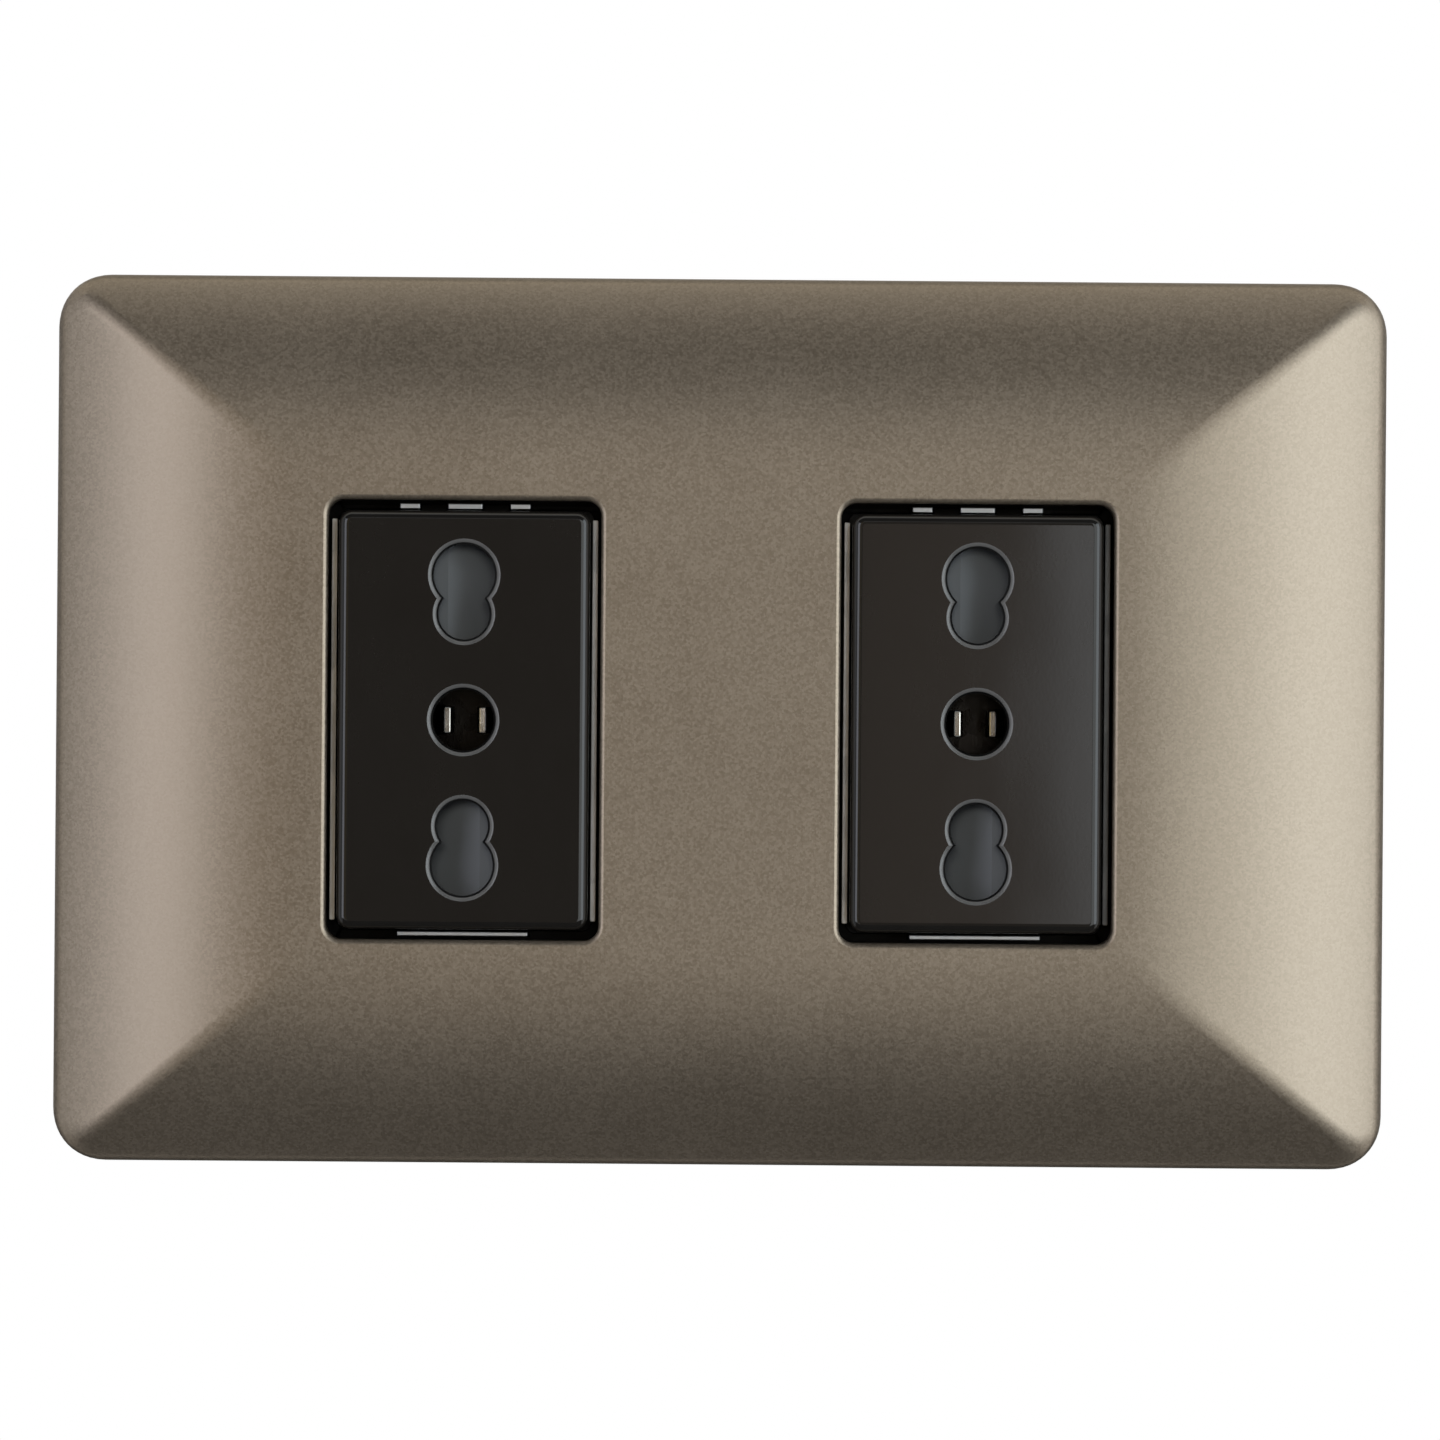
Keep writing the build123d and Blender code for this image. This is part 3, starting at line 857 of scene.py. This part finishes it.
    def collars(self, mesh: bmesh.types.BMesh) -> None:
        """Adds the walls that surround the windows behind the plate."""
        top = self.rise - self.wall
        for middle in self.middles():
            loops = ring_outline(mesh, self.window_ring(0.0, top, middle), self.corner_steps)
            loops += ring_outline(mesh, self.window_ring(self.collar_wall, top, middle), self.corner_steps)
            faces = bmesh.ops.bridge_loops(mesh, edges=loops)["faces"]
            made = bmesh.ops.extrude_face_region(mesh, geom=faces, use_keep_orig=True)["geom"]
            verts = [item for item in made if isinstance(item, bmesh.types.BMVert)]
            bmesh.ops.translate(mesh, verts=verts, vec=(0.0, top - self.collar_end, 0.0))

    def ribs(self, mesh: bmesh.types.BMesh) -> None:
        """Adds the stiffening ribs between the windows and from each window to the slopes."""
        half = self.rib_wall / 2
        inner = self.pitch / 2 - self.window_width / 2
        outer = self.pitch / 2 + self.window_width / 2
        for row in (-self.rib_offset, self.rib_offset):
            spans = [(-inner, inner, self.rib_root)]
            spans += [(way * outer, way * (outer + self.rib_reach), self.rib_tip_root) for way in (-1, 1)]
            for start, end, root in spans:
                outline = [
                    (start, -self.collar_end, row - half),
                    (start, -self.rib_root, row - half),
                    (end, -root, row - half),
                    (end, -self.collar_end, row - half),
                ]
                extrude_profile(mesh, outline, (0.0, 0.0, self.rib_wall))
        start = self.window_height / 2
        end = start + self.rib_reach
        for middle in self.middles():
            for way in (-1, 1):
                outline = [
                    (middle - half, -self.collar_end, way * start),
                    (middle - half, -self.rib_root, way * start),
                    (middle - half, -self.rib_tip_root, way * end),
                    (middle - half, -self.collar_end, way * end),
                ]
                extrude_profile(mesh, outline, (self.rib_wall, 0.0, 0.0))

    def hooks(self, mesh: bmesh.types.BMesh) -> None:
        """Adds the four snap hooks that catch the frame's flanges."""
        inner = self.hook_inner
        outer = inner + self.hook_wall
        barb = inner - self.hook_barb
        section = (
            (inner, self.hook_root),
            (inner, self.hook_catch),
            (barb, self.hook_catch),
            (barb, self.hook_catch - self.hook_land),
            (inner, self.hook_tip),
            (outer, self.hook_tip),
            (outer, self.hook_root),
        )
        for middle in (-self.hook_spacing / 2, self.hook_spacing / 2):
            start = middle - self.hook_width / 2
            for way in (-1, 1):
                outline = [(start, -height, way * reach) for reach, height in section]
                extrude_profile(mesh, outline, (self.hook_width, 0.0, 0.0))

    def build(self, material: bpy.types.Material) -> bpy.types.Object:
        """Builds the plate and returns it."""
        mesh = bmesh.new()
        self.skin(mesh)
        self.collars(mesh)
        self.ribs(mesh)
        self.hooks(mesh)
        bmesh.ops.recalc_face_normals(mesh, faces=mesh.faces[:])
        plate = finished_piece("cover_shell", mesh, material, self.sharp)
        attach(plate, "root")
        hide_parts("cover_plate")
        return plate


@dataclass
class SocketModule:
    """One socket module: rounded hole edges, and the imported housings, shutter and contacts."""

    side: Side
    offset: float = 23 * MM
    face: float = 9.6 * MM
    outer_pin: float = 13 * MM
    inner_pin: float = 9.5 * MM
    outer_radius: float = 2.75 * MM
    inner_radius: float = 2.3 * MM
    earth_radius: float = 2.75 * MM
    waist: float = 10.9 * MM
    edge_width: float = 0.5 * MM
    edge_first: float = 16.0
    edge_last: float = 85.0
    edge_steps: int = 9
    edge_root: float = 0.12 * MM
    turns: int = 72
    housing_edge: float = 0.12 * MM
    block_edge: float = 0.05 * MM
    metal_edge: float = 0.1 * MM
    leaf_edge: float = 0.15 * MM
    leaf_steps: int = 3

    def middle(self) -> float:
        """Where the module has its middle along X."""
        return -self.offset if self.side is Side.LEFT else self.offset

    def hole_edge(self, mesh: bmesh.types.BMesh, z: float, radius: float) -> list[Any]:
        """Adds the rounded edge of a round hole, seated in the face's bevel.

        Args:
            mesh: The bmesh to add to.
            z: The hole's place along Z.
            radius: The hole's radius.

        Returns:
            The new vertices, edges and faces.
        """
        before = {*mesh.verts, *mesh.edges, *mesh.faces}
        width, root = self.edge_width, self.edge_root
        section = rounded_edge(width, self.edge_first, self.edge_last, self.edge_steps)
        section += [(0.0, width), (root, width + root), (width + root, root)]
        x = self.middle()
        verts = [mesh.verts.new((x + radius + out, drop - self.face, z)) for out, drop in section]
        edges = [mesh.edges.new(pair) for pair in zip(verts, [*verts[1:], verts[0]])]
        bmesh.ops.spin(
            mesh, geom=verts + edges, cent=(x, 0.0, z), axis=(0, 1, 0),
            angle=2 * math.pi, steps=self.turns, use_merge=True,
        )
        return [item for item in (*mesh.verts, *mesh.edges, *mesh.faces) if item not in before]

    def trim(self, mesh: bmesh.types.BMesh, ring: list[Any], z: float, way: float) -> None:
        """Cuts a hole edge off beyond a level along Z, on the side that way points to, and closes it."""
        cut = bmesh.ops.bisect_plane(
            mesh, geom=ring, plane_co=(0.0, 0.0, z), plane_no=(0.0, 0.0, way), clear_outer=True
        )["geom_cut"]
        bmesh.ops.holes_fill(mesh, edges=[item for item in cut if isinstance(item, bmesh.types.BMEdge)])

    def build(self, material: bpy.types.Material) -> bpy.types.Object:
        """Builds the rounded edges of the two keyholes and the earth hole, and returns them."""
        mesh = bmesh.new()
        for way in (-1, 1):
            outer = self.hole_edge(mesh, way * self.outer_pin, self.outer_radius)
            self.trim(mesh, outer, way * self.waist, -way)
            inner = self.hole_edge(mesh, way * self.inner_pin, self.inner_radius)
            self.trim(mesh, inner, way * self.waist, way)
        self.hole_edge(mesh, 0.0, self.earth_radius)
        bmesh.ops.recalc_face_normals(mesh, faces=mesh.faces[:])
        edges = finished_piece(f"{self.side.value}_hole_edges", mesh, material)
        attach(edges, "root")
        return edges

    def dress(self, nodes: dict[str, bpy.types.Object], materials: Materials) -> None:
        """Gives every node of the module its finish and its softened edges."""
        side = self.side.value
        dress_node(nodes[f"{side}_front_housing"], materials[Slot.MODULE])
        dress_node(nodes[f"{side}_shutter"], materials[Slot.SHUTTER])
        dress_node(nodes[f"{side}_rear_housing"], materials[Slot.BLOCK])
        dress_node(nodes[f"{side}_terminal_screws"], materials[Slot.SCREW])
        soften_edges(nodes[f"{side}_rear_housing"], self.block_edge)
        soften_edges(nodes[f"{side}_terminal_screws"], self.metal_edge)
        soften_edges(nodes[f"{side}_shutter"], self.housing_edge)
        for terminal in Terminal:
            name = f"{side}_{terminal.value}"
            dress_node(nodes[f"{name}_contact"], materials[Slot.CONTACT])
            dress_node(nodes[f"{name}_clamp_plate"], materials[Slot.SCREW])
            soften_edges(nodes[f"{name}_contact"], self.leaf_edge, self.leaf_steps)
            soften_edges(nodes[f"{name}_clamp_plate"], self.metal_edge)
        LOG.info("dressed the %s module", side)


@dataclass
class ShutterSpring:
    """Coil spring from the housing's side wall to the shutter's wing, which the turning shutter presses
    together; this coil is built at rest and stays so.
    """

    side: Side
    wire: float = 0.34 * MM
    turns: int = 5
    turn_steps: int = 28
    wire_sides: int = 12
    seated: float = 1.2 * MM
    sharp: float = 50.0

    def build(self, material: bpy.types.Material) -> bpy.types.Object:
        """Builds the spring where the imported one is, and returns it."""
        node = f"{self.side.value}_shutter_spring"
        low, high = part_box(node)
        middle = (Vector(low) + Vector(high)) / 2
        first, last = low[0] + self.wire / 2, high[0] - self.wire / 2
        radius = (high[2] - low[2] - self.wire) / 2
        steps = self.turns * self.turn_steps
        mesh = bmesh.new()
        verts = bmesh.ops.create_circle(mesh, segments=self.wire_sides, radius=self.wire / 2)["verts"]
        bmesh.ops.rotate(mesh, verts=verts, cent=(0, 0, 0), matrix=UPRIGHT)
        bmesh.ops.translate(mesh, verts=verts, vec=(first, middle.y, middle.z + radius))
        bmesh.ops.spin(
            mesh, geom=mesh.verts[:] + mesh.edges[:], cent=middle, axis=(1, 0, 0),
            dvec=((last - first) / steps, 0.0, 0.0), angle=2 * math.pi * self.turns, steps=steps,
        )
        bmesh.ops.holes_fill(mesh, edges=[edge for edge in mesh.edges if edge.is_boundary])
        bmesh.ops.recalc_face_normals(mesh, faces=mesh.faces[:])
        coil = finished_piece(f"{self.side.value}_spring_coil", mesh, material, self.sharp)
        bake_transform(coil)
        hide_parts(node)
        return coil


@dataclass
class MountingFrame:
    """The pressed steel frame behind the plate."""

    edge: float = 0.13 * MM

    def dress(self, nodes: dict[str, bpy.types.Object], materials: Materials) -> None:
        """Gives the frame its zinc finish and rounds the cut edges of its sheet."""
        dress_node(nodes["mounting_frame"], materials[Slot.ZINC])
        soften_edges(nodes["mounting_frame"], self.edge, joined=False)
        LOG.info("dressed the mounting frame")


@dataclass(frozen=True)
class SoftBox:
    """A rectangular studio lamp that points at the socket."""

    name: str
    place: Point
    size: tuple[float, float]
    power: float
    colour: Colour
    mirrored: bool = True

    def light(self) -> bpy.types.Object:
        """Builds the lamp and returns it."""
        data = bpy.data.lights.new(self.name, "AREA")
        data.shape = "RECTANGLE"
        data.size, data.size_y = self.size
        data.energy = self.power
        data.color = self.colour
        lamp = bpy.data.objects.new(self.name, data)
        lamp.location = self.place
        lamp.rotation_euler = (-Vector(self.place)).to_track_quat("-Z", "Y").to_euler()
        lamp.visible_camera = False
        lamp.visible_glossy = self.mirrored
        bpy.context.scene.collection.objects.link(lamp)
        return lamp


@dataclass(frozen=True)
class Card:
    """A glowing or dark sheet that only the glossy faces see, turned to the socket."""

    name: str
    place: Point
    size: tuple[float, float]
    glow: Colour
    far_glow: Colour | None = None
    fade: tuple[float, float] = (0.0, 1.0)
    streak: float = 0.0
    streak_size: float = 0.03
    streak_stretch: Point = (1.0, 1.0, 0.4)
    cuts: int = 6
    tint: Colour = (0.01, 0.01, 0.01)
    roughness: float = 0.9

    def faded(self, shader: Shader) -> Value:
        """The glow as it fades to the far glow from left to right."""
        streaks = shader.noise(self.streak_size, detail=2.0, stretch=self.streak_stretch) - 0.5
        share = shader.ramp(shader.along("X") + streaks * self.streak, *self.fade)
        return shader.between(share, self.glow, self.far_glow)

    def hang(self) -> bpy.types.Object:
        """Builds the card and returns it."""
        mesh = bmesh.new()
        grid = bmesh.ops.create_grid(mesh, x_segments=self.cuts, y_segments=self.cuts, size=0.5)
        verts = grid["verts"]
        bmesh.ops.scale(mesh, verts=verts, vec=(*self.size, 1.0))
        turn = Vector(self.place).to_track_quat("Z", "Y").to_matrix()
        bmesh.ops.rotate(mesh, verts=verts, cent=(0, 0, 0), matrix=turn)
        bmesh.ops.translate(mesh, verts=verts, vec=self.place)
        shader = Shader(f"{self.name}_sheet")
        sheet = shader.surface(
            {
                "Base Color": (*self.tint, 1.0),
                "Roughness": self.roughness,
                "Emission Color": (*self.glow, 1.0) if self.far_glow is None else self.faded(shader),
                "Emission Strength": 1.0,
            }
        )
        card = finished_piece(self.name, mesh, sheet)
        card.visible_camera = False
        card.visible_diffuse = False
        card.visible_shadow = False
        return card


@dataclass
class Studio:
    """Camera, lamps, floor and the cards that the glossy faces mirror."""

    distance: float = 0.900
    frame_width: float = 130.3 * MM
    sensor: float = 36.0
    aim: Point = (0.0, 0.0, 0.18 * MM)
    roll: float = -0.45
    view_reach: float = 20.0
    floor_level: float = -0.90
    floor_size: float = 2.0
    floor_cuts: int = 8
    floor_blotch: float = 0.2
    floor_dark: Colour = (0.90, 0.90, 0.90)
    floor_light: Colour = (0.94, 0.94, 0.94)
    floor_roughness: float = 0.9
    floor_glow: float = 0.85
    ambient: float = 0.05
    boxes: tuple[SoftBox, ...] = (
        SoftBox("left_box", (-0.757, -0.728, 0.14), (0.50, 1.0), 4.1, (0.85, 0.87, 1.0)),
        SoftBox("right_box", (0.80, -0.56, 0.12), (0.55, 1.0), 5.8, (0.83, 0.93, 1.0)),
        SoftBox("front_fill", (0.0, -1.40, 0.22), (0.50, 0.3), 7.0, (1.0, 0.98, 0.88), False),
        SoftBox("rear_left_box", (-0.80, 1.00, 0.45), (0.8, 0.8), 8.0, (1.0, 1.0, 1.0)),
        SoftBox("rear_right_box", (0.80, 1.00, 0.45), (0.8, 0.8), 8.0, (1.0, 1.0, 1.0)),
    )
    cards: tuple[Card, ...] = (
        Card("front_card", (0.0, -1.25, -0.06), (0.60, 1.42), (0.18, 0.14, 0.10)),
        Card(
            "window_card", (0.062, -1.24, 0.0), (0.075, 0.20), (0.62, 0.50, 0.40),
            far_glow=(2.4, 2.4, 2.4), fade=(0.064, 0.080), streak=0.04,
        ),
        Card("left_near_card", (-0.394, -1.027, 0.12), (0.27, 1.2), (0.40, 0.30, 0.12)),
        Card("right_near_card", (0.48, -0.99, 0.12), (0.48, 1.2), (2.18, 2.30, 2.30)),
        Card("left_far_card", (-0.906, -0.423, 0.0), (0.40, 1.4), (0.56, 0.60, 0.64)),
        Card("left_edge_card", (-1.0, 0.01, 0.0), (0.26, 1.6), (0.7, 0.7, 0.7)),
        Card("right_edge_card", (1.0, 0.01, 0.0), (0.26, 1.6), (1.3, 1.3, 1.3)),
        Card("left_back_card", (-0.766, 0.643, 0.0), (1.2, 1.8), (0.1, 0.1, 0.1)),
        Card("right_back_card", (0.766, 0.643, 0.0), (1.2, 1.8), (0.1, 0.1, 0.1)),
        Card("top_card", (0.0, -0.535, 0.661), (2.0, 0.62), (0.01, 0.01, 0.01)),
        Card("top_edge_card", (0.0, -0.015, 0.850), (1.7, 0.30), (1.2, 1.15, 1.0)),
        Card("top_back_card", (0.0, 0.546, 0.651), (1.7, 1.0), (0.45, 0.43, 0.38)),
        Card("low_card", (0.0, -0.535, -0.661), (2.0, 0.66), (0.02, 0.02, 0.02)),
        Card("low_edge_card", (0.0, -0.074, -0.847), (1.7, 0.39), (0.03, 0.03, 0.03)),
        Card("low_back_card", (0.0, 0.546, -0.651), (1.7, 1.0), (0.02, 0.02, 0.02)),
    )

    def camera(self) -> None:
        """Places the camera in front of the plate, as far off and as rolled as the photograph's."""
        data = bpy.data.cameras.new("front_camera")
        data.sensor_width = self.sensor
        data.lens = self.sensor * self.distance / self.frame_width
        data.clip_end = self.view_reach
        camera = bpy.data.objects.new("front_camera", data)
        camera.location = Vector(self.aim) + Vector((0.0, -self.distance, 0.0))
        camera.rotation_euler = (math.radians(90), math.radians(self.roll), 0.0)
        bpy.context.scene.collection.objects.link(camera)
        bpy.context.scene.camera = camera

    def world(self) -> None:
        """Lights the room evenly and shows it white to the camera and in mirrors."""
        world = bpy.data.worlds.new("studio")
        world.use_nodes = True
        room = NodeTree(world.node_tree)
        white = (1.0, 1.0, 1.0, 1.0)
        ambient = room.node("ShaderNodeBackground", None, {"Color": white, "Strength": self.ambient})
        shown = room.node("ShaderNodeBackground", None, {"Color": white, "Strength": 1.0})
        light = room.node("ShaderNodeMixShader", None, {0: room.seen(), 1: ambient, 2: shown})
        room.node("ShaderNodeOutputWorld", {"target": "ALL"}, {"Surface": light})
        bpy.context.scene.world = world

    def floor(self) -> None:
        """Adds a plain pale floor well below the socket, which looks pale but sends out no light."""
        mesh = bmesh.new()
        cuts = self.floor_cuts
        bmesh.ops.create_grid(mesh, x_segments=cuts, y_segments=cuts, size=self.floor_size)
        bmesh.ops.translate(mesh, verts=mesh.verts[:], vec=(0.0, 0.0, self.floor_level))
        shader = Shader("pale_floor")
        tone = shader.noise(self.floor_blotch, detail=2.0)
        tint = shader.between(tone, self.floor_dark, self.floor_light)
        sockets = {"Base Color": tint, "Roughness": self.floor_roughness}
        paper = shader.node("ShaderNodeBsdfPrincipled", None, sockets)
        glow = shader.node("ShaderNodeEmission", None, {"Color": tint, "Strength": 1.0})
        shown = shader.seen() * self.floor_glow
        skin = shader.node("ShaderNodeMixShader", None, {0: shown, 1: paper, 2: glow})
        shader.node("ShaderNodeOutputMaterial", {"target": "ALL"}, {"Surface": skin})
        finished_piece("floor", mesh, shader.material)

    def build(self) -> None:
        """Sets up the whole studio."""
        self.world()
        self.floor()
        for card in self.cards:
            card.hang()
        for box in self.boxes:
            box.light()
        self.camera()
        bpy.context.scene.view_settings.view_transform = "Standard"
        LOG.info("studio ready")


def corners(box: tuple[Vector, Vector]) -> list[list[float]]:
    """The two corners of a box as plain lists."""
    return [list(corner) for corner in box]


def main() -> None:
    """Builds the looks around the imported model, in order."""
    logging.basicConfig(level=logging.INFO)
    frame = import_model()
    nodes = frame["nodes"]
    finishes = Finishes()
    materials = finishes.by_slot()
    # Material with the painted highlight and painted shade of the hole edges.
    painted_edge_light = finishes.hole_edge.material()
    plate = CoverPlate().build(materials[Slot.PLATE])
    LOG.info("built %s with %d faces", plate.name, len(plate.data.polygons))
    MountingFrame().dress(nodes, materials)
    for side in Side:
        module = SocketModule(side)
        edges = module.build(painted_edge_light)
        LOG.info("built %s with %d faces", edges.name, len(edges.data.polygons))
        module.dress(nodes, materials)
        coil = ShutterSpring(side).build(materials[Slot.SPRING])
        LOG.info("built %s with %d faces", coil.name, len(coil.data.polygons))
    Studio().build()


if __name__ == "__main__":
    main()
